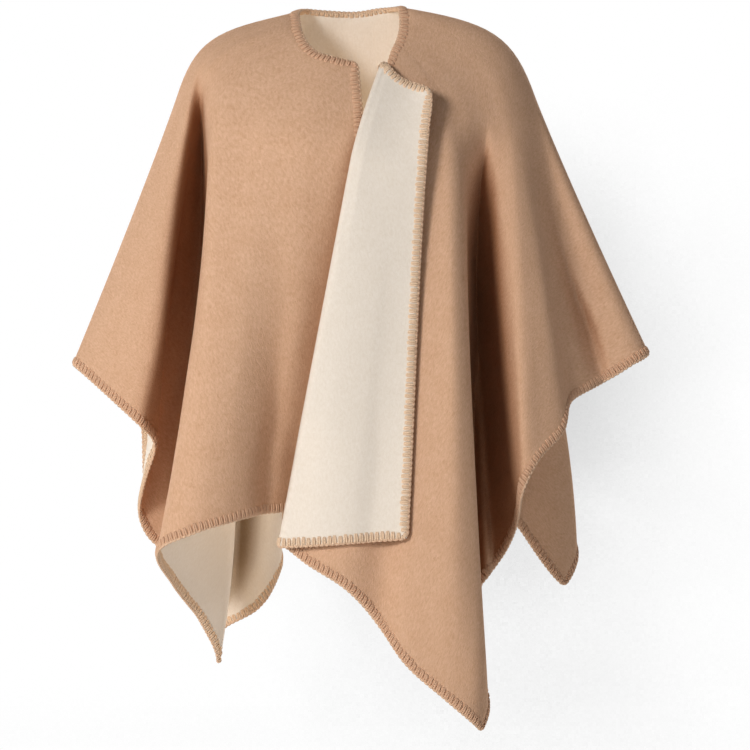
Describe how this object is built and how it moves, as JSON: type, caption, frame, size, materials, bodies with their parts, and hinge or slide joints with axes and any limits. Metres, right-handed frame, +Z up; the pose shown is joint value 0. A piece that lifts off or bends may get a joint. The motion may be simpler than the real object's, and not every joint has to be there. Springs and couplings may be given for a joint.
{
  "type": "poncho",
  "caption": "Open-front wool poncho hanging as worn, one front edge turned back as a revers, all edges finished with blanket stitch.",
  "frame": {"origin": "midway between the two points where the neck opening crosses the shoulders, at the underside of the cloth", "axes": "+Z up, +X towards the wearer's left, -Y towards the front"},
  "size_m": [0.7775, 0.5002, 0.9539],
  "materials": {
    "camel_face": "brushed wool nap, matt",
    "cream_face": "brushed wool nap, matt"
  },
  "bodies": {
    "root": {"right_front": "camel_face", "back": "camel_face", "left_front": "camel_face", "left_revers": "cream_face"}
  },
  "joints": []
}
